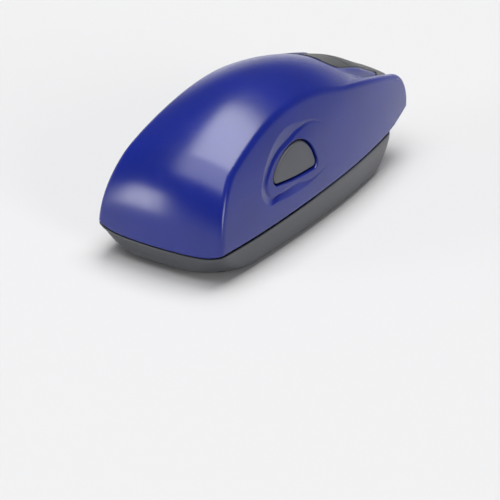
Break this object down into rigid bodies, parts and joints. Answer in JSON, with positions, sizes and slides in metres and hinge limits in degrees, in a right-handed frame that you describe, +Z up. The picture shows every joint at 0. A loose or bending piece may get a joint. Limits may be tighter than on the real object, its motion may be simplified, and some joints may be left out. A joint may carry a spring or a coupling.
{
  "type": "pocket self-inking stamp",
  "caption": "Pocket self-inking stamp: a glossy indigo curved housing with side buttons, hinged at the tail to a grey base that holds the ink pad under the text plate.",
  "frame": {"origin": "bottom centre of the closed stamp's bounding box", "axes": "+X from the nose to the hinged tail, +Y to the right side, +Z up from the base to the top of the housing"},
  "size_m": [0.0741, 0.0294, 0.0267],
  "materials": {
    "indigo_plastic": "glossy, slightly translucent",
    "dark_grey_plastic": "satin",
    "mid_grey_plastic": "satin",
    "button_grey_plastic": "satin",
    "base_grey_plastic": "satin",
    "black_plastic": "satin",
    "pale_foam": "matte cut foam",
    "stamp_rubber": "matte laser-cut rubber",
    "pad_felt": "inked felt",
    "pin_steel": "drawn",
    "spring_steel": "drawn wire"
  },
  "bodies": {
    "base": {"base_shell": "base_grey_plastic", "base_rim_frame": "black_plastic", "ink_tray": "black_plastic", "ink_pad": "pad_felt", "centre_tooth": "base_grey_plastic", "left_hook": "base_grey_plastic", "right_hook": "base_grey_plastic", "left_lug": "base_grey_plastic", "right_lug": "base_grey_plastic"},
    "housing": {"housing_cover": "indigo_plastic", "top_insert": "dark_grey_plastic", "barrel_skirt": "mid_grey_plastic", "hinge_pin": "pin_steel", "chassis": "black_plastic", "plate_holder": "black_plastic", "foam_layer": "pale_foam", "text_die": "stamp_rubber", "left_button_spring": "spring_steel", "right_button_spring": "spring_steel"},
    "left_push": {"left_button": "button_grey_plastic", "left_catch_arm": "button_grey_plastic"},
    "right_push": {"right_button": "button_grey_plastic", "right_catch_arm": "button_grey_plastic"}
  },
  "joints": [
    {"name": "opening", "type": "hinge", "parent": "base", "child": "housing", "pos_m": [0.03135, 0, 0.0111], "axis": [0, 1, 0], "range_deg": [0, 175]},
    {"name": "left_press", "type": "slide", "parent": "housing", "child": "left_push", "axis": [0, 1, 0], "range_m": [0, 0.0012], "stiffness_N_per_m": 400, "springref_m": -0.0015, "deforming": ["left_button_spring"]},
    {"name": "right_press", "type": "slide", "parent": "housing", "child": "right_push", "axis": [0, -1, 0], "range_m": [0, 0.0012], "stiffness_N_per_m": 400, "springref_m": -0.0015, "deforming": ["right_button_spring"]}
  ]
}
